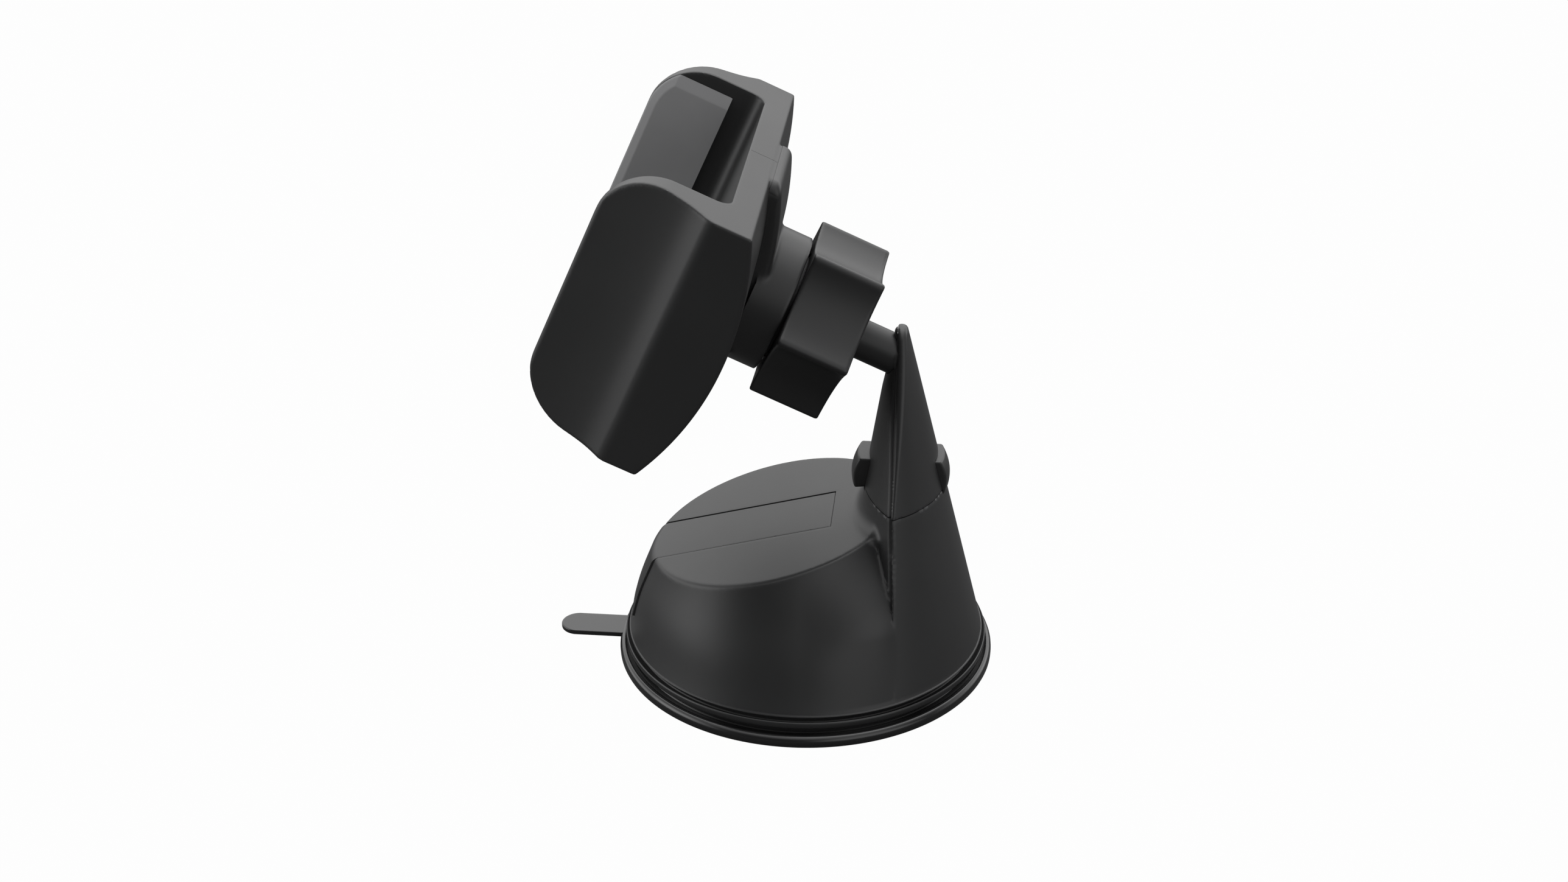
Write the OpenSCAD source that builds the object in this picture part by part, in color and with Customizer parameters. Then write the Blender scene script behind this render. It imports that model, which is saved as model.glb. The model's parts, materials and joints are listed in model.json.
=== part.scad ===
// Car phone mount: suction base, quick-release fin neck, ball joint with
// clamping knob and a sprung two-jaw cradle.
// Millimetres. Origin: centre of the suction face, on the surface it sticks to.
// +Z up, +X to the side, -Y towards the driver (the side the phone faces).

/* [Suction base] */
// Radius of the suction cup rim
rim_r = 42; // [41.8:0.1:42.2]
// Height of the rubber rim's edge
rim_h = 1.9; // [1.8:0.05:2.0]
// Thickness of the housing wall
wall = 2.6; // [2.4:0.1:2.8]
// Length of the pull tab past the rim
tab_len = 14; // [10:0.5:16]
// Width of the pull tab
tab_w = 7.8; // [6:0.2:10]

/* [Lock lever] */
// Half width of the lever strip
lever_w = 7.92; // [7.8:0.02:7.94]
// Gap between the lever and its slot
lever_gap = 0.15; // [0.12:0.01:0.2]
// How far the lever's front face stands proud of the housing
lever_proud = 0.5; // [0.3:0.1:0.6]

/* [Neck] */
// Height of the seam between base and neck
seam_z = 43; // [43:0.05:43.1]
// Wall thickness of the neck shells
neck_wall = 1.6; // [1.5:0.05:1.7]
// Radius of the neck's rounded top
neck_top_r = 7.2; // [7:0.1:7.4]

/* [Ball joint] */
// Tilt of the ball stem above the horizontal, in degrees
tilt = 24.195; // [24.1:0.005:24.3]
// Radius of the ball
ball_r = 8.5; // [8.4:0.05:8.5]
// Radius of the ball stem
stem_r = 4.3; // [4:0.1:4.4]
// Radius of the clamping knob at its lobes
knob_r = 19.7; // [18.5:0.1:20]
// Radius of the socket behind the cradle
socket_r = 15.45; // [15:0.05:15.6]

/* [Cradle] */
// Length of the jaws
jaw_len = 55.5; // [55:0.1:56]
// Half of the gap between the closed jaws
grip_half = 33; // [32.9:0.05:33.05]
// Thickness of the soft jaw pads
pad_t = 0.9; // [0.7:0.1:1]
// Half width of the hub on the cradle's back
hub_w = 12.4; // [12.2:0.05:12.4]

/* [Hidden] */
$fn = 96;
black = [0.07, 0.07, 0.075];
dark = [0.05, 0.05, 0.055];
rubbery = [0.09, 0.09, 0.095];
steel = [0.62, 0.63, 0.65];
nylon = [0.80, 0.79, 0.75];
axis_v = 73.79;
bc = 29.5;
cv = 74.05;
v0 = cv - jaw_len / 2;
v1 = cv + jaw_len / 2;
arc_u = 111.2;
jaw_arc = 64.3;
hub_arc = 66.8;
pin_z = 27;
cam_e = 2.33;
cam_y = -cam_e * sin(55);
cam_z = pin_z - cam_e * cos(55);
split_y = 20.2;
rack_pitch = 6;

// ---- shared shapes -------------------------------------------------------

// A cone standing on its wide end, its tip at (0, ya, za), leaning by lean.
module cone(ya, za, lean, half, inset = 0)
  translate([0, ya, za]) rotate([lean, 0, 0])
    translate([0, 0, -inset / sin(half) - 130])
      cylinder(r1 = 130 * tan(half), r2 = 0, h = 130);

module rear_cone(inset = 0) cone(16.475, 97.536, -8.885, 23.032, inset);
module fin_cone(inset = 0) cone(18.835, 82.737, 27.372, 36.195, inset);
module drum_cone(inset = 0) cone(-11.33, 93.383, 6.172, 24.068, inset);

// Everything below the slanted top face, lowered by d.
module below_top(d = 0)
  translate([0, -32.21, 24.82]) rotate([14.584, 0, 0])
    translate([-60, -60, -90 - d]) cube([120, 160, 90]);

// A box in the slanted top's own plane.
module on_top(y0, y1, z0, z1, hw)
  translate([0, -32.21, 24.82]) rotate([14.584, 0, 0])
    translate([-hw, y0, z0]) cube([2 * hw, y1 - y0, z1 - z0]);

module slab(z0, z1, s = 200)
  translate([-s / 2, -s / 2, z0]) cube([s, s, z1 - z0]);

module xcyl(r, y, z, x0, x1)
  translate([x0, y, z]) rotate([0, 90, 0]) cylinder(r = r, h = x1 - x0);

module ycyl(r, x, z, y0, y1)
  translate([x, y1, z]) rotate([90, 0, 0]) cylinder(r = r, h = y1 - y0);

module box(x0, x1, y0, y1, z0, z1)
  translate([x0, y0, z0]) cube([x1 - x0, y1 - y0, z1 - z0]);

module tube(ro, ri, z0, z1) difference() {
  translate([0, 0, z0]) cylinder(r = ro, h = z1 - z0);
  translate([0, 0, z0 - 1]) cylinder(r = ri, h = z1 - z0 + 2);
}

// The head's own frame: x across, y up along the cradle, z out to the phone.
module head() rotate([90 - tilt, 0, 0]) children();

// A turned body on the ball joint's axis, from height u0 to u1.
module boss(r, u0, u1)
  translate([0, axis_v, u0]) cylinder(r = r, h = u1 - u0);

// A coil drawn as a stack of turns joined by a thin strip.
module coil(r, wire, len, turns) {
  for (i = [0 : turns - 1])
    translate([0, 0, wire + i * (len - 2 * wire) / (turns - 1)])
      rotate_extrude() translate([r, 0]) circle(r = wire, $fn = 16);
  translate([r - wire * 0.6, -wire * 0.6, wire * 0.5])
    cube([wire * 1.2, wire * 1.2, len - wire]);
}

// ---- base ----------------------------------------------------------------

module suction_cup() color(rubbery) difference() {
  union() {
    rotate_extrude() polygon([[0, 2.6], [12, 2.6], [24, 2.1], [33, 0.4],
      [35.5, 0], [rim_r - 0.3, 0], [rim_r, 0.3], [rim_r, rim_h],
      [rim_r - 0.8, 2.5], [39.2, 2.6], [38.9, 3.15], [34, 3.15], [30, 3.7],
      [16, 6.4], [0, 6.6]]);
    difference() {
      union() {
        box(-tab_w / 2, tab_w / 2, -rim_r - tab_len + tab_w / 2, -rim_r + 2,
          1.2, 2.5);
        translate([0, -rim_r - tab_len + tab_w / 2, 1.2])
          cylinder(r = tab_w / 2, h = 1.3);
      }
      translate([0, 0, 0]) cylinder(r = rim_r - 1.5, h = 6);
    }
  }
  translate([0, 0, 4.2]) cylinder(r = 13, h = 1.6);
  translate([0, 0, 5]) cylinder(r = 5.5, h = 4);
}

module screw_spots() for (a = [45 : 90 : 315]) rotate([0, 0, a])
  translate([33.2, 0, 0]) children();

module pressure_ring() color(dark) difference() {
  rotate_extrude() polygon([[30.6, 3.9], [34.2, 3.2], [38.9, 3.2],
    [39.2, 3.9], [40.2, 3.9], [40.5, 4.2], [40.5, 6.2], [40.1, 6.6],
    [38.9, 6.8], [30.6, 6.8]]);
  screw_spots() {
    translate([0, 0, 2]) cylinder(r = 2.3, h = 3.2);
    translate([0, 0, 2]) cylinder(r = 1.1, h = 6);
  }
}

module ring_screws() color(steel) screw_spots() difference() {
  union() {
    translate([0, 0, 3.7]) cylinder(r = 2.1, h = 1.5);
    translate([0, 0, 5.2]) cylinder(r = 1.1, h = 7.3);
  }
  for (b = [0, 90]) rotate([0, 0, b]) box(-1.2, 1.2, -0.25, 0.25, 3, 4.3);
}

module housing_outside() {
  intersection() { drum_cone(); below_top(); slab(8, 60); }
  intersection() { rear_cone(); fin_cone(); slab(8, seam_z); }
  rotate_extrude() polygon([[30, 6.8], [38.1, 6.8], [38.1, 7.3],
    [38.6, 7.5], [38.6, 8.2], [36.4, 9.8], [30, 9.8]]);
}

module housing_inside() difference() {
  union() {
    intersection() { drum_cone(wall); below_top(wall); slab(6, 60); }
    intersection() { rear_cone(wall); fin_cone(wall); slab(6, 36.4); }
  }
  // channel that the lever lies in
  difference() {
    intersection() { on_top(-60, 46, -60, 8, 10); slab(6.5, 50); }
    intersection() { drum_cone(4.4); below_top(4.8); }
  }
  // floor that carries the cam washer
  slab(16.4, 19.4);
  // screw posts
  screw_spots() translate([0, 0, 6]) cylinder(r = 2.9, h = 8);
  // pillars under the neck
  for (s = [-1, 1]) box(s * 12 - 1, s * 12 + 1, 14, 40, 19, 40);
}

module base_housing() color(black) difference() {
  housing_outside();
  housing_inside();
  // slot for the lever, with room for the turning cams and the lever's heel
  intersection() {
    box(-lever_w - lever_gap, lever_w + lever_gap, -60, 30, 9.1, 50);
    union() {
      difference() {
        on_top(-60, 38, -60, 8, 14);
        intersection() { drum_cone(2.05); below_top(2.55); }
      }
      intersection() {
        union() {
          xcyl(9.78, 0, pin_z, -12, 12);
          intersection() { xcyl(9.95, 0, pin_z - 2.4, -13, 13); slab(0, 31.5); }
        }
        slab(19.4, 60);
      }
    }
  }
  // stem guide, screw holes, spigot seats, notches under the buttons
  translate([0, 0, 10]) cylinder(r = 3.5, h = 12);
  screw_spots() translate([0, 0, 6]) cylinder(r = 1.1, h = 6.5);
  for (s = [-1, 1]) box(s * 8.6 - 1.6, s * 8.6 + 1.6, 18.6, 22.4, 30, 50);
  box(-4.8, 4.8, 0, 18.2, 41.9, 50);
  box(-4.8, 4.8, 23.2, 40, 41.9, 50);
}

module neck_spigot() color(dark) {
  box(-10.9, 10.9, 16.6, 24.2, 33.8, 36.4);
  for (s = [-1, 1]) box(s * 8.6 - 1.6, s * 8.6 + 1.6, 18.6, 22.4, 36.4, 52.9);
}

module cam_washer() color(steel) tube(8.2, 3.5, 19.4, 20.6);

module stem_spring() color(steel) translate([0, 0, 7.4])
  coil(6.3, 0.6, 9, 5);

module suction_stem() color(nylon) difference() {
  union() {
    translate([0, 0, 4.2]) cylinder(r = 13, h = 1.6);
    translate([0, 0, 5.8]) cylinder(r = 5.5, h = 1.5);
    translate([0, 0, 5.8]) cylinder(r = 3.45, h = 14.5);
    intersection() {
      xcyl(3.2, 0, pin_z, -2.6, 2.6);
      box(-3, 3, -4, 4, 22, 31);
    }
    intersection() {
      box(-2.6, 2.6, -3.2, 3.2, 20, pin_z);
      translate([0, 0, 19]) cylinder(r = 3.45, h = 10);
    }
  }
  xcyl(1.5, 0, pin_z, -4, 4);
}

module lever_pin() color(steel) xcyl(1.5, 0, pin_z, -6.2, 6.2);

module lock_lever() color(black) difference() {
  union() {
    // strip in the slanted top, folding down over the front face
    difference() {
      intersection() {
        drum_cone(-lever_proud);
        below_top(0.3);
        on_top(-60, 39.19, -60, 2, lever_w);
        slab(9.3, 60);
      }
      intersection() { drum_cone(1.9); below_top(2.4); }
    }
    // cams and their cheeks
    for (s = [-1, 1]) {
      xcyl(5, cam_y, cam_z, s * 4.6 - 1.6, s * 4.6 + 1.6);
      intersection() {
        box(s * 4.6 - 1.6, s * 4.6 + 1.6, -5.5, 3.9, pin_z, 36);
        below_top(1);
      }
    }
  }
  xcyl(1.56, 0, pin_z, -9, 9);
}

// ---- neck ----------------------------------------------------------------

module neck_body() intersection() {
  rear_cone();
  fin_cone();
  union() {
    box(-40, 40, -10, 50, seam_z + 0.05, 71.9);
    ycyl(neck_top_r, 0, 71.9, 0, 40);
  }
}

module neck_hollow(inset) intersection() {
  rear_cone(inset);
  fin_cone(inset);
  box(-40, 40, -10, 50, 30, 64);
}

module button_rooms() {
  box(-4.62, 4.62, 0, 40, 40, 50.55);
  box(-6.4, 6.4, 15.9, 25.5, 40, 51.8);
}

module neck_cutouts() {
  neck_hollow(neck_wall);
  button_rooms();
  // seat of the ball stem's root
  ycyl(4.6, 0, 71.9, 18.7, 21.1);
  intersection() {
    head() boss(stem_r, 6, 30);
    box(-10, 10, 0, 21.1, 60, 85);
  }
}

module neck_front_shell() color(black) difference() {
  intersection() { neck_body(); box(-40, 40, -10, split_y, 40, 85); }
  neck_cutouts();
}

module neck_rear_shell() color(black) difference() {
  intersection() { neck_body(); box(-40, 40, split_y, 50, 40, 85); }
  neck_cutouts();
}

module neck_core() color(dark) difference() {
  union() {
    box(-6.6, 6.6, 19, 22.4, seam_z + 0.2, 55);
    intersection() {
      neck_hollow(neck_wall);
      box(-30, 30, 0, 40, 54.6, 60);
    }
  }
  ycyl(2.7, 0, 47.4, 10, 30);
}

module latch_spring() color(steel) translate([0, 22.55, 47.4])
  rotate([90, 0, 0]) coil(2.2, 0.35, 3.7, 4);

// Cap outline of the front button, seen from the side.
module button_cap() translate([-4.5, 0, 0]) rotate([90, 0, 90])
  linear_extrude(9) polygon([[16.1, 42.1], [11.3, 42.1], [10.4, 42.7],
    [9.95, 43.8], [9.9, 45.2], [10.05, 46.8], [10.5, 48.4], [11.3, 49.9],
    [11.9, 50.4], [16.1, 50.4]]);

module latch_button_front() color(black) {
  button_cap();
  box(-6.2, 6.2, 16, 17.2, 43.6, 51.4);
}

module latch_button_rear() color(black) {
  translate([0, 41.1, 0]) mirror([0, 1, 0]) button_cap();
  box(-6.2, 6.2, 24.2, 25.4, 43.6, 51.4);
}

// ---- ball joint ----------------------------------------------------------

module ball_stem() color(dark) {
  ycyl(4.6, 0, 71.9, 18.7, 21.1);
  intersection() {
    head() boss(stem_r, 6, bc - 2);
    box(-10, 10, -20, 21.1, 60, 100);
  }
  head() translate([0, axis_v, bc]) sphere(r = ball_r);
}

module ball_liner() color(nylon) head() difference() {
  intersection() {
    translate([0, axis_v, bc]) sphere(r = 10);
    boss(12, bc - 5, bc + 6.5);
  }
  translate([0, axis_v, bc]) sphere(r = ball_r + 0.05);
}

module clamp_ring() color(nylon) head() difference() {
  boss(12.2, bc - 5.6, bc - 0.6);
  translate([0, axis_v, bc]) sphere(r = 10.05);
  boss(8.3, bc - 8, bc);
}

module clamp_knob() color(black) head() difference() {
  translate([0, axis_v, 22.4]) linear_extrude(15) difference() {
    circle(r = knob_r);
    for (i = [0 : 5]) rotate(30 + 60 * i) translate([35.2, 0])
      circle(r = 20.35);
  }
  boss(12.28, bc - 5.65, 40);
  translate([0, axis_v, 21.2]) cylinder(r1 = 9.3, r2 = 8.1, h = 3);
}

// ---- cradle --------------------------------------------------------------

// Draws a (y, z) outline as a bar along x, in the head's frame.
module along_x(x0, x1) translate([x0, 0, 0]) rotate([90, 0, 90])
  linear_extrude(x1 - x0) children();

module cradle_arc(r)
  translate([-80, cv, arc_u]) rotate([0, 90, 0]) cylinder(r = r, h = 160);

module cradle_hub() color(black) head() difference() {
  union() {
    intersection() {
      box(-hub_w, hub_w, v0, v1, 40, 52.4);
      cradle_arc(hub_arc);
    }
    boss(socket_r, 38.6, 46.75);
    boss(12.2, bc + 0.3, 40);
  }
  translate([0, axis_v, bc]) sphere(r = 10.05);
  // room for the racks, the pinion and its spring
  box(-20, 20, 64, 84.1, 49.3, 53);
  translate([0, cv, 46.7]) cylinder(r = 7.3, h = 4);
  translate([0, cv, 44.5]) cylinder(r = 1.2, h = 4);
  for (x = [-8, 8], v = [59, 89.1]) translate([x, v, 48.4])
    cylinder(r = 1, h = 6);
}

module rail_plate() color(dark) head() difference() {
  box(-27, 27, 55, 93.1, 52.4, 53.6);
  translate([0, cv, 50]) cylinder(r = 1.2, h = 6);
  for (x = [-8, 8], v = [59, 89.1]) translate([x, v, 50]) {
    cylinder(r = 1, h = 6);
    translate([0, 0, 2.7]) cylinder(r = 2.1, h = 4);
  }
}

module rail_screws() color(steel) head()
  for (x = [-8, 8], v = [59, 89.1]) translate([x, v, 0]) difference() {
    union() {
      translate([0, 0, 48.4]) cylinder(r = 1, h = 4.4);
      translate([0, 0, 52.7]) cylinder(r = 2.1, h = 0.85);
    }
    for (b = [0, 90]) rotate([0, 0, b]) box(-1.2, 1.2, -0.25, 0.25, 53.1, 54);
  }

function inv(a) = tan(a) * 180 / PI - a;
function flank(r) = r < 5.638 ? 7.87 : 7.02 + inv(20) - inv(acos(5.638 / r));
module pinion_outline() polygon([for (i = [0 : 11],
  k = [[-1, 5.15], [-1, 5.64], [-1, 6.1], [-1, 6.5], [-1, 6.85],
       [1, 6.85], [1, 6.5], [1, 6.1], [1, 5.64], [1, 5.15]])
  let (a = 90 + 30 * i + k[0] * flank(k[1]))
    [k[1] * cos(a), k[1] * sin(a)]]);

module pinion() color(nylon) head() translate([0, cv, 0]) difference() {
  union() {
    translate([0, 0, 49.5]) linear_extrude(2.4) pinion_outline();
    translate([0, 0, 46.9]) cylinder(r = 2.4, h = 2.6);
  }
  translate([0, 0, 40]) cylinder(r = 1.25, h = 20);
}

module pinion_pin() color(steel) head() translate([0, cv, 44.5])
  cylinder(r = 1.2, h = 9.0);

// Flat spiral spring drawn as nested open rings and two short tails.
module return_spring() color(steel) head() translate([0, cv, 47.1]) {
  for (r = [3.2 : 1.1 : 6.5]) tube(r + 0.25, r, 0, 1.9);
  box(-0.2, 0.2, 3.3, 7.2, 0, 1.9);
}

function inner_fillet() = [for (a = [0 : 15 : 90])
  [grip_half - 3.2 + 3.2 * sin(a), 62 - 3.2 * cos(a)]];

module jaw_outline() polygon(concat([[0.05, 58.8]], inner_fillet(),
  [[grip_half, 82], [34.6, 82], [35.1, 81.5], [35.3, 80.8], [35.7, 79], [36.8, 75.5], [38.1, 72.2], [39.8, 68.6],
   [41.4, 65.8], [42.9, 63.5], [43.7, 62.4], [44.1, 61.5], [44.2, 60.4],
   [44.2, 40], [0.05, 40]]));

// Rounded front corners of a jaw or pad, seen from the side.
module side_outline(a, b, u0, u1, r) intersection() {
  union() {
    translate([a, u0 - r]) square([b - a, u1 - u0]);
    translate([a + r, u0 - r]) square([b - a - 2 * r, u1 - u0 + r]);
    for (y = [a + r, b - r]) translate([y, u1 - r]) circle(r = r);
  }
  translate([a - 1, u0]) square([b - a + 2, u1 - u0 + 1]);
}

// The right jaw; dir says which rack is its own (1: lower, -1: upper).
module jaw(dir) difference() {
  intersection() {
    translate([0, v1, 0]) rotate([90, 0, 0]) linear_extrude(jaw_len)
      jaw_outline();
    along_x(0, 60) side_outline(v0, v1, 30, 82, 12);
    union() {
      cradle_arc(jaw_arc);
      box(0, 12.6, 40, 110, 50, 90);
    }
  }
  // clear of the hub, the rail plate and the racks
  box(-1, 12.52, 40, 110, 40, 52.5);
  box(-1, 27.5, 54.9, 93.2, 52.3, 53.7);
  box(10, 20, cv - dir * 6.975 - 1.625, cv - dir * 6.975 + 1.625, 49.4, 51.9);
  box(10, 17.5, cv + dir * 7.4 - 2.7, cv + dir * 7.4 + 2.7, 49.3, 52);
}

// The bar of the rack lies from the pitch line outwards.
module right_rack_shape() translate([0, cv, 0]) mirror([0, 1, 0])
  translate([0, rack_pitch, 0]) difference() {
    box(-16, 20, -0.65, 3.9, 49.4, 51.9);
    for (i = [-5 : 4]) translate([i * PI, 0, 40]) linear_extrude(20)
      polygon([[-0.45, 1.05], [0.45, 1.05], [1.10, -0.75], [-1.10, -0.75]]);
    box(-17, 30, 2.6, 5, 49, 52);
    box(14.6, 30, -1, 0.2, 49, 52);
  }

module jaw_right() color(black) head() jaw(1);
module jaw_left() color(black) head() mirror([1, 0, 0]) jaw(-1);
module rack_right() color(nylon) head() right_rack_shape();
module rack_left() color(nylon) head() translate([0, cv, 0])
  rotate([0, 0, 180]) translate([0, -cv, 0]) right_rack_shape();

// A pad reaches the jaw's tip and its rounded corners, in two steps.
module pad() {
  along_x(grip_half - pad_t * 0.5, grip_half) intersection() {
    side_outline(v0, v1, 65.4, 82, 12);
    translate([v0 + 2.8, 60]) square([jaw_len - 5.6, 30]);
  }
  along_x(grip_half - pad_t, grip_half - pad_t * 0.5) intersection() {
    side_outline(v0 + 1.3, v1 - 1.3, 65.4, 80.7, 10.7);
    translate([v0 + 4.8, 60]) square([jaw_len - 9.6, 30]);
  }
}

module jaw_pad_right() color(rubbery) head() pad();
module jaw_pad_left() color(rubbery) head() mirror([1, 0, 0]) pad();

suction_cup();
pressure_ring();
ring_screws();
base_housing();
neck_spigot();
cam_washer();
stem_spring();
suction_stem();
lever_pin();
lock_lever();
neck_front_shell();
neck_rear_shell();
neck_core();
latch_spring();
latch_button_front();
latch_button_rear();
ball_stem();
ball_liner();
clamp_ring();
clamp_knob();
cradle_hub();
rail_plate();
rail_screws();
pinion();
pinion_pin();
return_spring();
jaw_left();
jaw_right();
rack_left();
rack_right();
jaw_pad_left();
jaw_pad_right();
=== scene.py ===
import bpy
import json
import math
import numpy as np
from mathutils import Matrix, Vector


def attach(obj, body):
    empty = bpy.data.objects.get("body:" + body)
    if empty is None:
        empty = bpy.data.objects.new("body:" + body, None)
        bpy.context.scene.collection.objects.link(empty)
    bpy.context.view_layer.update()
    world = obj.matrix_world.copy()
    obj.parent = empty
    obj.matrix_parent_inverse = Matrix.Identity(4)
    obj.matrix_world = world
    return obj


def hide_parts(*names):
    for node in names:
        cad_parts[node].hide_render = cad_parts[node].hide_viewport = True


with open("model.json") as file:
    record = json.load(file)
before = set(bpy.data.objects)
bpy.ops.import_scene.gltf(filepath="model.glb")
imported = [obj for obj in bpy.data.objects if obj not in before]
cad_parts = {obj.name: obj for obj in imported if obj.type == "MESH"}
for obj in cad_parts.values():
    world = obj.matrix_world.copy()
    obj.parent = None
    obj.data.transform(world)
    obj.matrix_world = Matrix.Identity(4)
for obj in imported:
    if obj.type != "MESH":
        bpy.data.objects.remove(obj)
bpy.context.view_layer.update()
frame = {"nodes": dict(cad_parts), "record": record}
rec = frame["record"]

# ---------------------------------------------------------------- geometry
# Distances are in millimetres here and the meshes are written in metres.
T = math.radians(24.195)
ST, CT = math.sin(T), math.cos(T)
AV = 73.79      # height of the ball joint's axis along the cradle
BC = 29.5       # ball centre along that axis
CV = 74.05      # middle of the jaws
V0, V1 = CV - 27.75, CV + 27.75


def to_head(p):
    """Row frame to the cradle's own frame: x, v up the cradle, u towards the phone."""
    x, y, z = p
    return x, y * ST + z * CT, -y * CT + z * ST


def from_head(a):
    return np.stack([a[:, 0], -a[:, 2] * CT + a[:, 1] * ST, a[:, 2] * ST + a[:, 1] * CT], 1)


def rmax(a, b, r):
    """Intersection with a rounded edge."""
    if np.isscalar(r) and r <= 0:
        return np.maximum(a, b)
    return np.minimum(-r, np.maximum(a, b)) + np.hypot(np.maximum(a + r, 0), np.maximum(b + r, 0))


def rmin(a, b, r):
    """Union with a rounded valley."""
    if np.isscalar(r) and r <= 0:
        return np.minimum(a, b)
    return np.maximum(r, np.minimum(a, b)) - np.hypot(np.maximum(r - a, 0), np.maximum(r - b, 0))


def cut(a, b, r=0.0):
    return rmax(a, -b, r)


def smin(a, b, k):
    h = np.clip(0.5 + 0.5 * (b - a) / k, 0, 1)
    return b + (a - b) * h - k * h * (1 - h)


def cone(p, ya, za, lean, half):
    """Distance outside a cone whose tip is at (0, ya, za)."""
    t, a = math.radians(lean), math.radians(half)
    x, y, z = p
    dy, dz = y - ya, z - za
    ax = dy * math.sin(t) - dz * math.cos(t)
    cr = dy * math.cos(t) + dz * math.sin(t)
    return np.hypot(x, cr) * math.cos(a) - ax * math.sin(a)


def box(p, x0, x1, y0, y1, z0, z1, r=0.0):
    x, y, z = p
    qx = np.abs(x - (x0 + x1) / 2) - (x1 - x0) / 2 + r
    qy = np.abs(y - (y0 + y1) / 2) - (y1 - y0) / 2 + r
    qz = np.abs(z - (z0 + z1) / 2) - (z1 - z0) / 2 + r
    return (np.minimum(np.maximum(qx, np.maximum(qy, qz)), 0)
            + np.sqrt(np.maximum(qx, 0) ** 2 + np.maximum(qy, 0) ** 2 + np.maximum(qz, 0) ** 2) - r)


def poly2(a, b, pts):
    """Distance to a closed outline in the (a, b) plane."""
    pts = np.array(pts, float)
    n = len(pts)
    best = np.full(np.shape(a), 1e18)
    s = np.ones(np.shape(a))
    for i in range(n):
        ax, ay = pts[i]
        bx, by = pts[i - 1]
        ex, ey = bx - ax, by - ay
        wx, wy = a - ax, b - ay
        t = np.clip((wx * ex + wy * ey) / (ex * ex + ey * ey), 0, 1)
        dx, dy = wx - ex * t, wy - ey * t
        best = np.minimum(best, dx * dx + dy * dy)
        c1 = b >= ay
        c2 = b < by
        c3 = ex * wy > ey * wx
        flip = (c1 & c2 & c3) | (~c1 & ~c2 & ~c3)
        s = np.where(flip, -s, s)
    return s * np.sqrt(best)


def solid(co, quads, name):
    """A mesh object from points in mm and four-sided faces."""
    me = bpy.data.meshes.new(name)
    me.vertices.add(len(co))
    me.vertices.foreach_set("co", (co / 1000).astype(np.float32).ravel())
    me.loops.add(len(quads) * 4)
    me.loops.foreach_set("vertex_index", quads.astype(np.int32).ravel())
    me.polygons.add(len(quads))
    me.polygons.foreach_set("loop_start", (np.arange(len(quads)) * 4).astype(np.int32))
    me.polygons.foreach_set("loop_total", np.full(len(quads), 4, np.int32))
    me.polygons.foreach_set("use_smooth", np.ones(len(quads), bool))
    me.update()
    me.validate()
    me.set_sharp_from_angle(angle=math.radians(42))
    ob = bpy.data.objects.new(name, me)
    bpy.context.scene.collection.objects.link(ob)
    return ob


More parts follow.
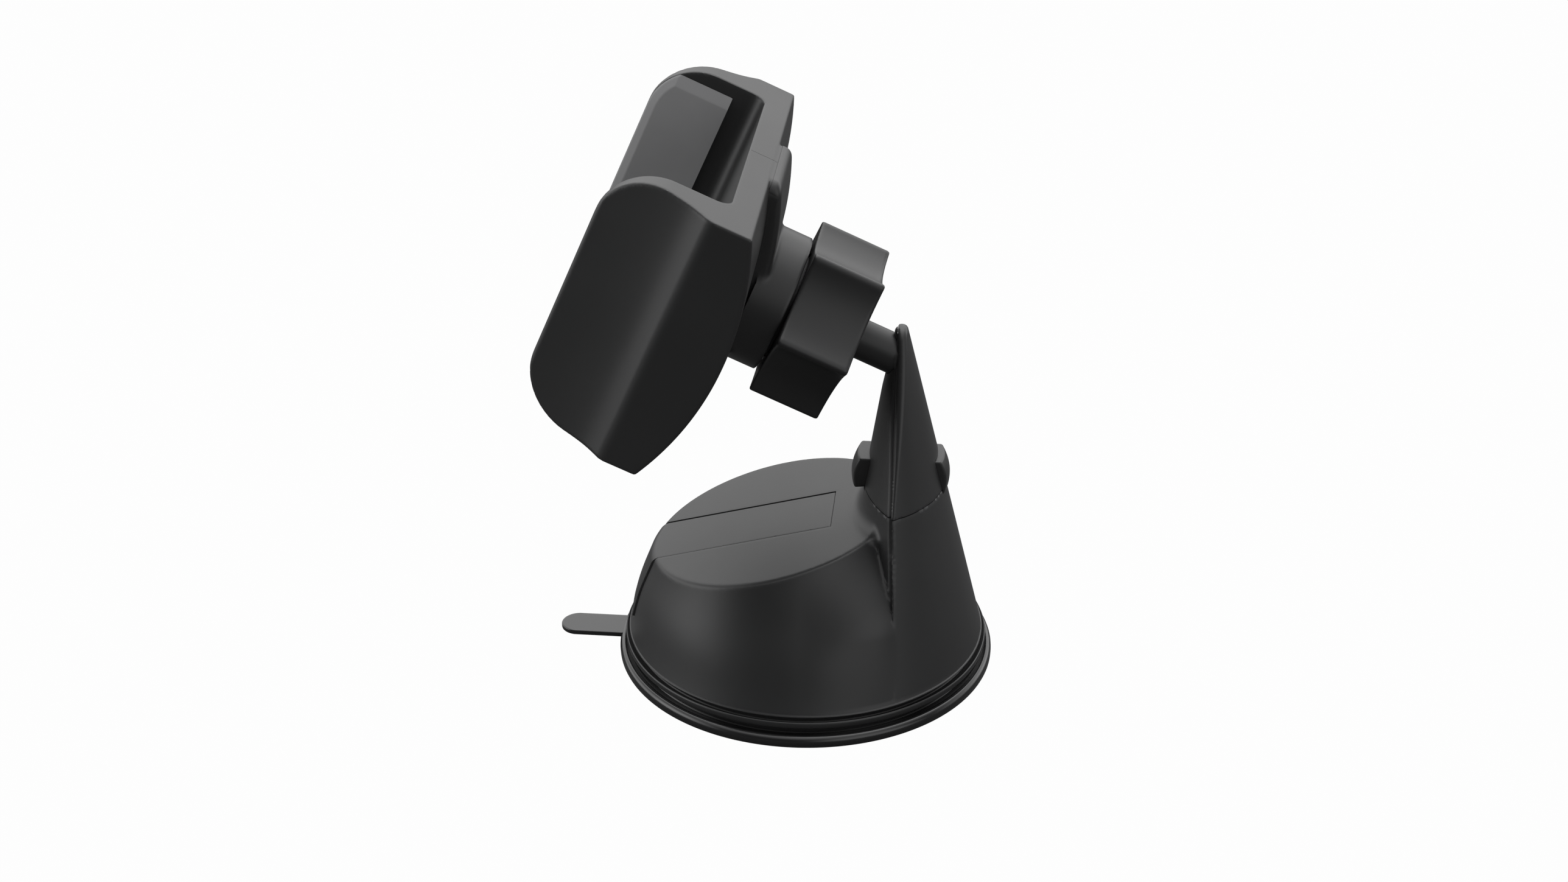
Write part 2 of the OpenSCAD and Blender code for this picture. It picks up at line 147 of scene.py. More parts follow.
def nets(f, lo, hi, h, name, head=False, polish=2):
    """A mesh of the surface f = 0: a vertex in each cell that the surface crosses, then
    moved onto the surface."""
    lo, hi = np.array(lo, float), np.array(hi, float)
    n = np.ceil((hi - lo) / h).astype(int) + 1
    ax = [lo[i] + h * np.arange(n[i]) for i in range(3)]
    val = np.empty(n, np.float32)
    step = max(1, int(3e6 / (n[1] * n[2])))
    for i in range(0, n[0], step):
        g = np.meshgrid(ax[0][i:i + step], ax[1], ax[2], indexing="ij")
        val[i:i + step] = f(g)
    ins = val < 0
    m = n - 1
    count = np.zeros(m, np.int8)
    for dx in (0, 1):
        for dy in (0, 1):
            for dz in (0, 1):
                count += ins[dx:m[0] + dx, dy:m[1] + dy, dz:m[2] + dz]
    active = (count > 0) & (count < 8)
    idx = np.argwhere(active)
    ident = np.full(m, -1, np.int64)
    ident[active] = np.arange(len(idx))
    # where the surface crosses the grid's edges, and its direction there
    def slope(q):
        g = np.empty_like(q)
        for k in range(3):
            qa, qb = [q[:, 0], q[:, 1], q[:, 2]], [q[:, 0], q[:, 1], q[:, 2]]
            qa[k] = qa[k] + 0.012
            qb[k] = qb[k] - 0.012
            g[:, k] = (f(qa) - f(qb)) / 0.024
        return g

    base, pts, nrm, eid = 0, [], [], []
    for axis in range(3):
        s0, s1 = [slice(None)] * 3, [slice(None)] * 3
        s0[axis], s1[axis] = slice(0, -1), slice(1, None)
        cross = ins[tuple(s0)] != ins[tuple(s1)]
        ij = np.argwhere(cross)
        va = val[tuple(s0)][cross].astype(float)
        vb = val[tuple(s1)][cross].astype(float)
        ta, tb = np.zeros(len(ij)), np.ones(len(ij))
        for _ in range(3):
            t = np.clip(ta + (tb - ta) * va / (va - vb), 0.0, 1.0)
            q = lo + h * ij.astype(float)
            q[:, axis] += h * t
            vt = f((q[:, 0], q[:, 1], q[:, 2]))
            same = (vt < 0) == (va < 0)
            ta, va = np.where(same, t, ta), np.where(same, vt, va)
            tb, vb = np.where(same, tb, t), np.where(same, vb, vt)
        g = slope(q)
        pts.append(q)
        nrm.append(g / np.maximum(np.linalg.norm(g, axis=1), 1e-6)[:, None])
        e = np.full(cross.shape, -1, np.int64)
        e[cross] = base + np.arange(len(ij))
        base += len(ij)
        eid.append(e)
    pts, nrm = np.concatenate(pts), np.concatenate(nrm)
    # each cell's vertex is the point nearest to all the planes that cross it
    acc, num = np.zeros((len(idx), 3)), np.zeros(len(idx))
    used = []
    for axis in range(3):
        u, w = [(1, 2), (0, 2), (0, 1)][axis]
        for du in (0, 1):
            for dw in (0, 1):
                q = idx.copy()
                q[:, u] += du
                q[:, w] += dw
                k = eid[axis][q[:, 0], q[:, 1], q[:, 2]]
                hit = k >= 0
                acc[hit] += pts[k[hit]]
                num[hit] += 1
                used.append(k)
    mid = acc / num[:, None]
    ata, atb = np.zeros((len(idx), 3, 3)), np.zeros((len(idx), 3))
    for k in used:
        hit = k >= 0
        nn, pp = nrm[k[hit]], pts[k[hit]]
        ata[hit] += nn[:, :, None] * nn[:, None, :]
        atb[hit] += nn * ((pp - mid[hit]) * nn).sum(1)[:, None]
    ata += 0.04 * np.eye(3)
    d = np.linalg.solve(ata, atb[:, :, None])[:, :, 0]
    ln = np.linalg.norm(d, axis=1)
    d *= np.minimum(1, 1.1 * h / np.maximum(ln, 1e-9))[:, None]
    vert = mid + d
    for _ in range(polish):
        v0 = f((vert[:, 0], vert[:, 1], vert[:, 2]))
        g = slope(vert)
        move = -(v0 / np.maximum((g ** 2).sum(1), 0.3))[:, None] * g
        ln = np.linalg.norm(move, axis=1)
        vert += move * np.minimum(1, 0.3 * h / np.maximum(ln, 1e-9))[:, None]
    quads = []
    for axis in range(3):
        o = [(0, 0, 0)] * 4
        u, w = [(1, 2), (2, 0), (0, 1)][axis]
        sl0 = [slice(1, m[0]), slice(1, m[1]), slice(1, m[2])]
        sl0[axis] = slice(0, m[axis])
        sl1 = list(sl0)
        sl1[axis] = slice(1, m[axis] + 1)
        a = ins[tuple(sl0)]
        b = ins[tuple(sl1)]
        for sgn, mask in ((1, a & ~b), (-1, ~a & b)):
            p = np.argwhere(mask)
            off = np.ones(3, int)
            off[axis] = 0
            p = p + off
            ids = []
            for du, dw in ((1, 1), (0, 1), (0, 0), (1, 0)):
                q = p.copy()
                q[:, u] -= du
                q[:, w] -= dw
                ids.append(ident[q[:, 0], q[:, 1], q[:, 2]])
            ids = np.stack(ids, 1)
            if sgn < 0:
                ids = ids[:, ::-1]
            quads.append(ids)
    quads = np.concatenate(quads)
    quads = quads[(quads >= 0).all(1)]
    if head:
        vert = from_head(vert)
    return solid(vert, quads, name)

S14, C14 = math.sin(math.radians(14.584)), math.cos(math.radians(14.584))


def step(a, b, x):
    t = np.clip((x - a) / (b - a), 0, 1)
    return t * t * (3 - 2 * t)


def allof(*f):
    r = f[0]
    for g in f[1:]:
        r = np.maximum(r, g)
    return r


def anyof(*f):
    r = f[0]
    for g in f[1:]:
        r = np.minimum(r, g)
    return r


def top(p):
    return (p[2] - 24.82) * C14 - (p[1] + 32.21) * S14


def along(p):
    return (p[1] + 32.21) * C14 + (p[2] - 24.82) * S14


def drum(p):
    return cone(p, -11.33, 93.383, 6.172, 24.068)


def rear(p):
    return cone(p, 16.475, 97.536, -8.885, 23.032)


def fin(p):
    return cone((p[0], p[1] - 0.11 * np.maximum(43 - p[2], 0), p[2]), 18.835, 82.737, 27.372, 36.195)


def bulge(z):
    return 0.6 * np.exp(-((z - 16) / 7) ** 2)


def rod_u(p):
    """Distance to the ball stem's rod and its place along it."""
    x, v, u = to_head(p)
    return np.hypot(x, v - AV), u


# ------------------------------------------------------------- base pieces
LIP = [[33, 5.98], [39.45, 5.98], [39.66, 6.05], [39.74, 6.2], [39.66, 6.36], [39.4, 6.45], [33, 6.45]]
RING = [[30.6, 3.85], [40.2, 3.85], [40.42, 3.93], [40.52, 4.12], [40.54, 4.5], [40.5, 5.0], [40.42, 5.2], [40.28, 5.28],
        [40.12, 5.2], [39.6, 4.5], [39.2, 4.3], [38.6, 4.3], [38.4, 4.5], [38.4, 5.97], [30.6, 5.97]]
CUP = [[0, 0.8], [14.5, 0.8], [24, 1.4], [33, 0.4], [35.5, 0.02], [41.7, 0.02], [41.86, 0.1], [41.95, 0.3], [41.98, 0.9],
       [41.93, 1.45], [41.78, 1.85], [41.5, 2.2], [41.15, 2.4], [40.85, 2.42], [40.6, 2.3], [39.9, 1.75], [39.4, 1.6],
       [38.6, 1.6], [38.4, 1.8], [38.4, 3.15], [34, 3.15], [30, 3.7], [16, 6.4], [5.6, 6.6], [5.6, 5.9], [13.2, 5.9],
       [13.2, 1.6], [0, 1.6]]


def lathe(outline, name, into=None, n=360):
    """A turned surface from an outline of radius and height in mm."""
    outline = np.array(outline, float)
    a = 2 * math.pi * np.arange(n) / n
    k = len(outline)
    r, z = outline[:, 0], outline[:, 1]
    co = np.stack([np.outer(np.cos(a), r), np.outer(np.sin(a), r), np.tile(z, (n, 1))], -1).reshape(-1, 3)
    i, j = np.meshgrid(np.arange(n), np.arange(k), indexing="ij")
    i, j = i.ravel(), j.ravel()
    i2, j2 = (i + 1) % n, (j + 1) % k
    quads = np.stack([i * k + j, i2 * k + j, i2 * k + j2, i * k + j2], 1)
    keep = ~((r[j] < 1e-6) & (r[j2] < 1e-6))
    quads = quads[keep]
    if into is not None:
        me = into.data
        old = np.empty(len(me.vertices) * 3, np.float32)
        me.vertices.foreach_get("co", old)
        faces = np.empty(len(me.polygons) * 4, np.int32)
        me.loops.foreach_get("vertex_index", faces)
        co = np.concatenate([old.reshape(-1, 3) * 1000, co])
        quads = np.concatenate([faces.reshape(-1, 4), quads + len(old) // 3])
        bpy.data.objects.remove(into)
        bpy.data.meshes.remove(me)
    return solid(co, quads, name)


def f_housing(p):
    x, y, z = p
    dr, tp, re, fi, al = drum(p), top(p), rear(p), fin(p), along(p)
    # the drum swells out towards the neck's edge and meets it about half way up
    swell = (0.65 + 0.187 * np.clip(z - 10, -3, 30)) * step(1, 20, y) * (1 - step(20, 37, z))
    side = dr - bulge(z) * (1 - step(4, 16, y)) - swell
    a = np.maximum(rmax(side, tp, 0.55), 6.1 - z)
    edge = fi + 0.7 * np.exp(-((re + 0.95) / 0.34) ** 2)
    b = np.maximum(rmax(rmax(re, edge, 0.35), z - 43, 0.2), 6.1 - z)
    k = step(0, 2, fi - re) * (0.5 + 2.2 * step(-3, -0.3, tp)) + 0.01
    h = rmin(a, b, k)
    rr = np.hypot(x, y)
    ax = np.abs(x)
    slot = allof(al - 38, -np.maximum(dr + 2.05, tp + 2.55))
    cam = anyof(np.hypot(y, z - 27) - 9.78, np.maximum(np.hypot(y, z - 24.6) - 9.95, z - 31.5))
    slot = allof(anyof(slot, np.maximum(cam, 19.4 - z)), ax - 8.1, 9.1 - z)
    h = cut(h, slot, 0.1)
    cav = anyof(allof(dr + 2.6, tp + 2.6, 6 - z), allof(re + 2.6, fi + 2.6, 6 - z, z - 36.4))
    posts = allof(np.hypot(ax - 23.476, np.abs(y) - 23.476) - 2.9, z - 14)
    keep = anyof(allof(ax - 10, al - 46, 6.5 - z, -np.maximum(dr + 4.4, tp + 4.8)),
                 np.abs(z - 17.9) - 1.5, posts,
                 allof(np.abs(ax - 12) - 1, 14 - y, y - 40, 19 - z, z - 40))
    h = cut(h, np.maximum(cav, -keep))
    holes = anyof(allof(rr - 3.5, np.abs(z - 16) - 6),
                  allof(np.hypot(ax - 23.476, np.abs(y) - 23.476) - 1.1, z - 12.5),
                  allof(np.abs(ax - 8.6) - 1.6, np.abs(y - 20.5) - 1.9, np.abs(z - 40) - 10),
                  allof(ax - 4.8, np.minimum(y - 18.2, 23.2 - y), 41.9 - z))
    return cut(h, holes, 0.12)


def f_lever(p):
    x, y, z = p
    dr, tp, al = drum(p), top(p), along(p)
    s = rmax(dr - bulge(z) - 0.4, tp + 0.13, 1.0)
    s = rmax(s, np.abs(x) - 7.8, 0.08)
    heel = np.where(al > 30, np.hypot(y, z - 27) - 9.56, -3.0)
    s = rmax(rmax(s, heel, 0.1), 9.3 - z, 0.3)
    s = np.maximum(s, y * 0.9063 - (z - 27) * 0.4226 - 3.68)
    s = cut(s, np.maximum(dr + 1.9, tp + 2.4))
    ax = np.abs(np.abs(x) - 4.6) - 1.6
    cams = rmax(np.hypot(y + 2.33 * math.sin(math.radians(55)), z - 27 + 2.33 * math.cos(math.radians(55))) - 4.88, ax, 0.15)
    cheeks = allof(ax, -5.5 - y, y - 3.9, 27 - z, tp + 1)
    return cut(anyof(s, cams, cheeks), np.hypot(y, z - 27) - 1.56)


def f_tab(p):
    x, y, z = p
    d = np.hypot(x, y + 52.1) - 3.9
    d = np.minimum(d, allof(np.abs(x) - 3.9, -52.1 - y, y + 40))
    d = rmax(rmax(d, z - 2.3, 0.3), 1.1 - z, 0.3)
    return np.maximum(d, 41 - np.hypot(x, y))


# ------------------------------------------------------------- neck pieces
def outline(x, z):
    ax = np.abs(x)
    lowr = (ax - (6.8 + 0.435 * (71.9 - z))) * 0.917
    upper = np.hypot(x, z - 71.9) - (6.8 + 0.4 * np.clip((z - 71.9) / 7.2, 0, 1))
    return np.where(z < 71.9, lowr, upper)


def rim_w(z):
    return 0.55 + 1.35 * step(43, 76, z)


def neck_body(p, ridge=0.35):
    x, y, z = p
    b = rmax(rear(p), fin(p), ridge)
    b = rmax(b, np.minimum(z - 71.9, np.hypot(x, z - 71.9) - 7.2), 0.9)
    return rmax(b, 43.06 - z, 0.2)


def neck_cuts(p):
    x, y, z = p
    ax = np.abs(x)
    hollow = allof(rear(p) + 1.6, fin(p) + 1.6, z - 64)
    rooms = anyof(allof(ax - 4.62, z - 49.75), allof(ax - 6.4, np.abs(y - 20.7) - 4.8, z - 51.8))
    seat = allof(np.hypot(x, z - 71.9) - 4.6, 18.7 - y, y - 21.1)
    r, u = rod_u(p)
    bore = allof(r - 4.42, 6 - u, y - 21.1, 60 - z)
    return hollow, anyof(rooms, seat, bore)


def f_rear_shell(p):
    x, y, z = p
    o = outline(x, z)
    bw = rim_w(z)
    split = np.minimum(20.2 - y, np.maximum(-bw - o, 19.2 - y))
    s = rmax(neck_body(p, 0.35 + 1.0 * step(43, 70, z)), split, 0.25)
    hollow, rest = neck_cuts(p)
    return cut(np.maximum(s, -hollow), rest, 0.12)


def f_front_shell(p):
    x, y, z = p
    o = outline(x, z)
    bw = rim_w(z)
    b = neck_body(p, 0.2) + 0.8 * np.exp(-((o + bw + 0.2) / 0.3) ** 2) + 0.4 * step(64, 74, z)
    lip = np.minimum(bw + 0.12 + o, y - 19.08)     # inside the rear shell's lip
    s = allof(b, y - 20.2, lip)
    hollow, rest = neck_cuts(p)
    return cut(np.maximum(s, -hollow), rest, 0.12)


def f_button(p, rearward=False):
    x, y, z = p
    if rearward:
        y = 41.1 - y
    bow = 9.9 + np.where(z > 45, 0.062, 0.05) * (z - 45) ** 2 + 0.7 * (x / 4.5) ** 2
    d = rmax((bow - y) * 0.85, np.abs(x) - 4.5, 0.3)
    d = rmax(rmax(d, z - 49.6, 0.3), 42.7 - z + 0.12 * (y - 12), 0.4)
    d = np.maximum(d, y - 16.1)
    back = 15.7 if rearward else 16
    return np.minimum(d, box((x, y, z), -6.2, 6.2, back, back + 1.2, 43.6, 51.4, 0.15))


# ------------------------------------------------------- ball joint pieces
def f_stem(p):
    x, y, z = p
    r, u = rod_u(p)
    rod = allof(r - 4.3, 6 - u, u - 27.5, y - 21.1)
    root = allof(np.hypot(x, z - 71.9) - 4.6, 18.7 - y, y - 21.1)
    hx, hv, hu = to_head(p)
    ball = np.sqrt(hx ** 2 + (hv - AV) ** 2 + (hu - BC) ** 2) - 8.5
    return anyof(rmin(rod, ball, 0.6), root)


def f_knob(p):
    x, v, u = p
    v = v - AV
    d = np.hypot(x, v) - 19.7
    for k in range(6):
        a = math.radians(30 + 60 * k)
        d = rmax(d, 20.35 - np.hypot(x - 35.2 * math.cos(a), v - 35.2 * math.sin(a)), 1.0)
    d = rmax(rmax(d, 22.4 - u, 0.6), u - 38.1, 0.5)
    r = np.hypot(x, v)
    bore = anyof(np.maximum(r - 12.4, 23.7 - u), (r - (9.45 - 0.4 * (u - 21.2))) * 0.93)
    return cut(d, bore, 0.25)


# ----------------------------------------------------------- cradle pieces
def f_hub(p):
    x, v, u = p
    arc = np.hypot(v - CV, u - 111.2) - 66.8
    bar = rmax(np.abs(x) - 12.4, np.abs(v - CV) - 27.75, 2.4)
    bar = rmax(bar, arc, 1.1)
    bar = np.maximum(bar, u - 52.4)
    r = np.hypot(x, v - AV)
    socket = np.maximum(rmax(r - 14.95, 38.75 - u, 0.3), u - 46.75)
    d = rmin(bar, socket, 0.7)
    d = np.minimum(d, allof(r - 12.2 + 1.2 * step(37.3, 37.7, u), 29.8 - u, u - 40))
    cuts = anyof(np.sqrt(r ** 2 + (u - BC) ** 2) - 10.05,
                 allof(np.abs(x) - 20, np.abs(v - 74.05) - 10.05, 49.3 - u),
                 allof(np.hypot(x, v - CV) - 7.3, 46.7 - u),
                 allof(np.hypot(x, v - CV) - 1.2, 44.5 - u),
                 allof(np.hypot(np.abs(x) - 8, np.abs(v - CV) - 15.05) - 1, 48.4 - u))
    return cut(d, cuts)


def f_jaw(p, side):
    x, v, u = p
    x = x * side
    knee = 35.3 + 0.35 * (82 - u) + 0.5 * np.logaddexp(0, ((65.2 - u) * 0.5) / 0.5)
    far = 0.4 * (33 + 11.3 * np.exp(-(u - 61.4) / 13)) + 0.6 * knee
    s = rmax(x - 44.2, (x - far) * 0.8, 0.8)
    air = rmax(x - 33, 58.8 - u, 3.2)
    s = rmax(np.maximum(s, -air), u - 82, 0.7)
    qx = np.abs(v - CV) - 27.75 + 12
    qu = u - 82 + 12
    flat = np.minimum(np.maximum(qx, qu), 0) + np.hypot(np.maximum(qx, 0), np.maximum(qu, 0)) - 12
    s = rmax(s, flat, 0.35)
    w = (v - CV) * np.where(v > CV, 0.93, 1)
    arc = np.minimum(np.hypot(w, u - 111.2) - 63.6,
                     np.maximum(rmax(x - 12.6, np.abs(v - CV) - 27.75, 3.0), 50 - u))
    s = rmax(s, arc, 0.4)
    s = np.maximum(s, 0.012 - x)
    cuts = anyof(allof(x - 12.43, u - 52.42),
                 allof(x - 27.5, np.abs(v - 74.05) - 19.15, np.abs(u - 53) - 0.7),
                 allof(np.abs(x - 15) - 5, np.abs(v - CV + side * 6.975) - 1.625, np.abs(u - 50.65) - 1.25),
                 allof(np.abs(x - 13.75) - 3.75, np.abs(v - CV - side * 7.4) - 2.7, np.abs(u - 50.65) - 1.35))
    return cut(s, cuts)


def f_pad(p, side):
    x, v, u = p
    x = x * side
    qx = np.abs(v - CV) - 27.75 + 12
    qu = u - 82 + 12
    edge = np.minimum(np.maximum(qx, qu), 0) + np.hypot(np.maximum(qx, 0), np.maximum(qu, 0)) - 12
    ends = np.abs(v - CV) - 24.95
    t = 0.1 + 0.8 * np.minimum(np.clip(-edge / 1.9, 0, 1), np.clip(-ends / 2.9, 0, 1))
    return allof(x - 32.99, (33 - t - x) * 0.85, edge + 0.15, ends, 65.4 - u)


# -------------------------------------------------------------- materials
def new_mat(name):
    m = bpy.data.materials.new(name)
    m.use_nodes = True
    m.node_tree.nodes.clear()
    return m, m.node_tree.nodes, m.node_tree.links


def surface(name, col, rough, grain=2600.0, depth=1.0e-5, cloud=0.05, metal=0.0, spec=0.5,
            coat=0.0, flow=None, warm=0.0):
    """A moulded or turned surface: a fine grain, a slow drift in gloss and tone, faint marks."""
    m, n, l = new_mat(name)
    out = n.new("ShaderNodeOutputMaterial")
    b = n.new("ShaderNodeBsdfPrincipled")
    l.new(b.outputs[0], out.inputs[0])
    b.inputs["Metallic"].default_value = metal
    b.inputs["Specular IOR Level"].default_value = spec
    b.inputs["Coat Weight"].default_value = coat
    b.inputs["Coat Roughness"].default_value = 0.18
    tc = n.new("ShaderNodeTexCoord")
    mp = n.new("ShaderNodeMapping")
    mp.inputs["Scale"].default_value = flow or (1, 1, 1)
    l.new(tc.outputs["Object"], mp.inputs["Vector"])
    fine = n.new("ShaderNodeTexNoise")
    fine.inputs["Scale"].default_value = grain
    fine.inputs["Detail"].default_value = 3
    fine.inputs["Roughness"].default_value = 0.6
    l.new(mp.outputs[0], fine.inputs["Vector"])
    slow = n.new("ShaderNodeTexNoise")
    slow.inputs["Scale"].default_value = 42
    slow.inputs["Detail"].default_value = 4
    l.new(tc.outputs["Object"], slow.inputs["Vector"])
    cells = n.new("ShaderNodeTexVoronoi")
    cells.inputs["Scale"].default_value = grain * 0.45
    l.new(mp.outputs[0], cells.inputs["Vector"])
    # tone
    ramp = n.new("ShaderNodeMapRange")
    ramp.inputs["From Min"].default_value = 0.3
    ramp.inputs["From Max"].default_value = 0.7
    ramp.inputs["To Min"].default_value = 1 - cloud * 1.6
    ramp.inputs["To Max"].default_value = 1 + cloud * 1.6
    l.new(slow.outputs["Fac"], ramp.inputs["Value"])
    tone = n.new("ShaderNodeVectorMath")
    tone.operation = "SCALE"
    tone.inputs[0].default_value = (col[0] * (1 + warm), col[1], col[2] * (1 - warm))
    l.new(ramp.outputs[0], tone.inputs["Scale"])
    l.new(tone.outputs[0], b.inputs["Base Color"])
    # gloss
    gl = n.new("ShaderNodeMapRange")
    gl.inputs["From Min"].default_value = 0.3
    gl.inputs["From Max"].default_value = 0.7
    gl.inputs["To Min"].default_value = rough - cloud * 0.5
    gl.inputs["To Max"].default_value = rough + cloud * 0.5
    mix = n.new("ShaderNodeMath")
    mix.operation = "MULTIPLY_ADD"
    mix.inputs[1].default_value = 0.25
    l.new(fine.outputs["Fac"], mix.inputs[0])
    half = n.new("ShaderNodeMath")
    half.operation = "MULTIPLY"
    half.inputs[1].default_value = 0.75
    l.new(slow.outputs["Fac"], half.inputs[0])
    l.new(half.outputs[0], mix.inputs[2])
    l.new(mix.outputs[0], gl.inputs["Value"])
    l.new(gl.outputs[0], b.inputs["Roughness"])
    # relief
    hgt = n.new("ShaderNodeMath")
    hgt.operation = "MULTIPLY_ADD"
    hgt.inputs[1].default_value = 0.35
    l.new(cells.outputs["Distance"], hgt.inputs[0])
    l.new(fine.outputs["Fac"], hgt.inputs[2])
    bump = n.new("ShaderNodeBump")
    bump.inputs["Strength"].default_value = 0.6
    bump.inputs["Distance"].default_value = depth
    l.new(hgt.outputs[0], bump.inputs["Height"])
    l.new(bump.outputs[0], b.inputs["Normal"])
    return m


BLACK = (0.020, 0.0202, 0.0207)
MATS = {
    "cup_rubber": surface("cup_rubber_look", (0.014, 0.014, 0.0145), 0.24, 900, 6e-6, 0.05, coat=0.25),
    "ring_plastic": surface("ring_plastic_look", BLACK, 0.34, 2200, 6e-6, 0.05),
    "screw_steel": surface("screw_steel_look", (0.56, 0.57, 0.59), 0.3, 1800, 6e-6, 0.06, metal=1.0, flow=(1, 1, 6)),
    "spring_steel": surface("spring_steel_look", (0.48, 0.49, 0.51), 0.33, 1500, 5e-6, 0.06, metal=1.0, flow=(6, 6, 1)),
    "housing_plastic": surface("housing_plastic_look", BLACK, 0.42),
    "lever_plastic": surface("lever_plastic_look", BLACK, 0.42),
    "inner_plastic": surface("inner_plastic_look", (0.05, 0.05, 0.053), 0.5, 1900, 1.2e-5, 0.05),
    "nylon": surface("nylon_look", (0.66, 0.65, 0.61), 0.42, 1500, 1.0e-5, 0.05, warm=0.01),
    "neck_plastic": surface("neck_plastic_look", BLACK, 0.41),
    "button_plastic": surface("button_plastic_look", BLACK, 0.40, 3000),
    "stem_plastic": surface("stem_plastic_look", BLACK, 0.40),
    "knob_plastic": surface("knob_plastic_look", BLACK, 0.40),
    "hub_plastic": surface("hub_plastic_look", BLACK, 0.41),
    "jaw_plastic": surface("jaw_plastic_look", BLACK, 0.43),
    "pad_rubber": surface("pad_rubber_look", (0.30, 0.30, 0.305), 0.5, 2000, 1.6e-5, 0.04, spec=0.4),
}
SLOT = {s["node"]: s["material_slot"] for s in rec["subparts"]}
BODY = {n: b for b, ns in rec["behaviour"]["bodies"].items() for n in ns}


def piece(ob, node):
    ob.data.materials.clear()
    ob.data.materials.append(MATS[SLOT[node]])
    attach(ob, BODY[node])
    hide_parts(node)
    return ob


for name, ob in frame["nodes"].items():
    for s in ob.material_slots:
        s.material = MATS[SLOT[name]]

shell = nets(f_housing, (-40.5, -40.5, 5.6), (40.5, 40.5, 43.6), 0.5, "housing_part")
piece(lathe(LIP, "housing_surface", shell), "base_housing")
piece(nets(f_lever, (-8.6, -38.5, 8.8), (8.6, 7.5, 36.4), 0.32, "lever_surface"), "lock_lever")
tab = nets(f_tab, (-4.6, -56.6, 0.6), (4.6, -40, 2.8), 0.2, "tab_part")
piece(lathe(CUP, "cup_surface", tab), "suction_cup")
piece(lathe(RING, "ring_surface"), "pressure_ring")
piece(nets(f_rear_shell, (-20.4, 18.6, 42.5), (20.4, 33, 79.8), 0.32, "neck_rear_surface"), "neck_rear_shell")
piece(nets(f_front_shell, (-20.4, 4, 42.5), (20.4, 20.8, 79.8), 0.32, "neck_front_surface"), "neck_front_shell")
piece(nets(lambda p: f_button(p), (-6.7, 9.4, 41.6), (6.7, 17.7, 51.9), 0.2, "button_front_surface"), "latch_button_front")
piece(nets(lambda p: f_button(p, True), (-6.7, 23.4, 41.6), (6.7, 31.7, 51.9), 0.2, "button_rear_surface"), "latch_button_rear")
piece(nets(f_stem, (-9.2, -8.5, 66.5), (9.2, 23, 89), 0.33, "stem_surface"), "ball_stem")
piece(nets(f_knob, (-20.9, AV - 20.9, 20.7), (20.9, AV + 20.9, 38), 0.36, "knob_surface", True), "clamp_knob")
piece(nets(f_hub, (-16.2, V0 - 0.8, 29.2), (16.2, V1 + 0.8, 53), 0.42, "hub_surface", True), "cradle_hub")
for side, word in ((1, "right"), (-1, "left")):
    a, b = (-0.5, 45) if side > 0 else (-45, 0.5)
    piece(nets(lambda p: f_jaw(p, side), (a, V0 - 0.8, 46), (b, V1 + 0.8, 82.8), 0.42, f"jaw_{word}_surface", True),
          f"jaw_{word}")
    a, b = (31.6, 33.5) if side > 0 else (-33.5, -31.6)
    piece(nets(lambda p: f_pad(p, side), (a, V0 + 2, 64.9), (b, V1 - 2, 82.6), 0.24, f"pad_{word}_surface", True),
          f"jaw_pad_{word}")

# ------------------------------------------------------- floor, light, view
me = bpy.data.meshes.new("floor")
S = 6.0
me.from_pydata([(-S, -S, 0), (S, -S, 0), (S, S, 0), (-S, S, 0)], [], [(0, 1, 2, 3)])
floor = bpy.data.objects.new("floor", me)
floor.location.z = -0.0004
bpy.context.scene.collection.objects.link(floor)

m, n, l = new_mat("floor_look")
out = n.new("ShaderNodeOutputMaterial")
path = n.new("ShaderNodeLightPath")
pick = n.new("ShaderNodeMixShader")
glow = n.new("ShaderNodeEmission")
glow.inputs["Color"].default_value = (0.985, 0.985, 0.985, 1)
glow.inputs["Strength"].default_value = 1.0
dim = n.new("ShaderNodeBsdfDiffuse")
tc = n.new("ShaderNodeTexCoord")
ns = n.new("ShaderNodeTexNoise")
ns.inputs["Scale"].default_value = 3
l.new(tc.outputs["Object"], ns.inputs["Vector"])
rg = n.new("ShaderNodeMapRange")
rg.inputs["To Min"].default_value = 0.09
rg.inputs["To Max"].default_value = 0.12
l.new(ns.outputs["Fac"], rg.inputs["Value"])
l.new(rg.outputs[0], dim.inputs["Color"])
l.new(path.outputs["Is Camera Ray"], pick.inputs[0])
l.new(dim.outputs[0], pick.inputs[1])
l.new(glow.outputs[0], pick.inputs[2])
l.new(pick.outputs[0], out.inputs[0])
me.materials.append(m)

# Brightness of the studio's walls and ceiling, as the object sees them.
OVER, BEHIND, LEFT, FRONT, RIGHT, AMBIENT = 1.12, 1.55, 1.8, 1.2, 0.88, 0.025
w = bpy.data.worlds.new("studio")
bpy.context.scene.world = w
w.use_nodes = True
n, l = w.node_tree.nodes, w.node_tree.links
n.clear()
out = n.new("ShaderNodeOutputWorld")
path = n.new("ShaderNodeLightPath")
pick = n.new("ShaderNodeMixShader")
seen = n.new("ShaderNodeBackground")
seen.inputs["Color"].default_value = (0.985, 0.985, 0.985, 1)
lit = n.new("ShaderNodeBackground")
lit.inputs["Color"].default_value = (1, 1, 1, 1)
tc = n.new("ShaderNodeTexCoord")
xyz = n.new("ShaderNodeSeparateXYZ")
l.new(tc.outputs["Generated"], xyz.inputs[0])


def ramp_of(src, a, b, c, d):
    r = n.new("ShaderNodeMapRange")
    r.interpolation_type = "SMOOTHSTEP"
    for key, value in (("From Min", a), ("From Max", b), ("To Min", c), ("To Max", d)):
        r.inputs[key].default_value = value
    l.new(src, r.inputs["Value"])
    return r.outputs[0]


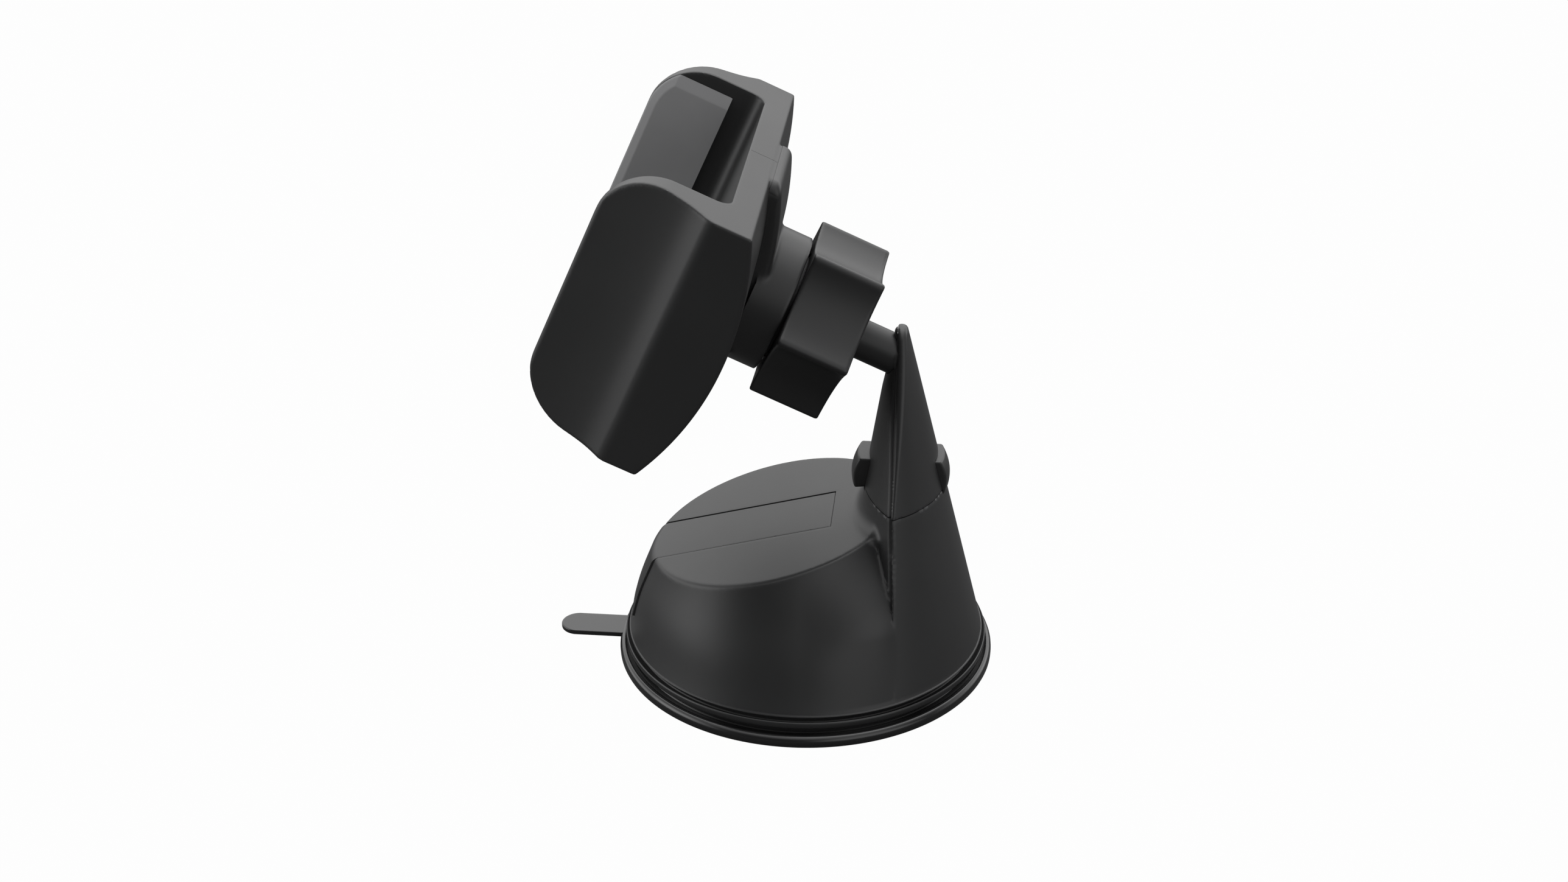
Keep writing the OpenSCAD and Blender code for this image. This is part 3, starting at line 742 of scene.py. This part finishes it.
def calc(op, a, b):
    r = n.new("ShaderNodeMath")
    r.operation = op
    for k, value in enumerate((a, b)):
        if isinstance(value, (int, float)):
            r.inputs[k].default_value = value
        else:
            l.new(value, r.inputs[k])
    return r.outputs[0]


X, Y, Z = xyz.outputs["X"], xyz.outputs["Y"], xyz.outputs["Z"]
def patch(az, el, a, b, strength):
    """A soft bright patch on the studio's wall, in the direction az, el."""
    d = n.new("ShaderNodeVectorMath")
    d.operation = "DOT_PRODUCT"
    l.new(tc.outputs["Generated"], d.inputs[0])
    az, el = math.radians(az), math.radians(el)
    d.inputs[1].default_value = (math.cos(az) * math.cos(el), math.sin(az) * math.cos(el), math.sin(el))
    return ramp_of(d.outputs["Value"], a, b, 0.0, strength)


over = ramp_of(Z, 0.5, 0.95, 0.0, OVER)
behind = calc("MULTIPLY", ramp_of(X, -0.15, -0.8, 0.0, BEHIND), ramp_of(Z, -0.1, 0.2, 0.0, 1.0))
left = patch(-86, 4, 0.70, 0.95, LEFT)
front = patch(42, 12, 0.80, 0.97, FRONT)
right_side = patch(115, 8, 0.82, 0.97, RIGHT)
total = calc("ADD", calc("ADD", over, behind), calc("ADD", left, calc("ADD", front, right_side)))
l.new(calc("ADD", total, AMBIENT), lit.inputs["Strength"])
l.new(path.outputs["Is Camera Ray"], pick.inputs[0])
l.new(lit.outputs[0], pick.inputs[1])
l.new(seen.outputs[0], pick.inputs[2])
l.new(pick.outputs[0], out.inputs[0])


def soft(name, loc, aim, sx, sy, power):
    d = bpy.data.lights.new(name, "AREA")
    d.shape = "RECTANGLE"
    d.size, d.size_y = sx, sy
    d.energy = power
    o = bpy.data.objects.new(name, d)
    o.location = loc
    o.rotation_euler = (Vector(aim) - Vector(loc)).to_track_quat("-Z", "Y").to_euler()
    bpy.context.scene.collection.objects.link(o)
    return o


soft("key_over", (-0.25, 0.0, 0.95), (0, 0, 0.06), 1.0, 1.0, 4.0)
soft("fill_left", (0.25, -0.95, 0.3), (0, 0, 0.05), 0.5, 0.5, 0.8)

cam = bpy.data.cameras.new("camera")
cam.sensor_width = 36
cam.lens = 48.36
cam.clip_start = 0.01
co = bpy.data.objects.new("camera", cam)
bpy.context.scene.collection.objects.link(co)
back = Vector((0.8877, 0.0829, 0.4529)).normalized()
right = Vector((0, 0, 1)).cross(back).normalized()
up = back.cross(right)
co.matrix_world = Matrix((
    (right.x, up.x, back.x, 0.405544),
    (right.y, up.y, back.y, 0.032966),
    (right.z, up.z, back.z, 0.257771),
    (0, 0, 0, 1)))
bpy.context.scene.camera = co
bpy.context.scene.view_settings.view_transform = "Standard"
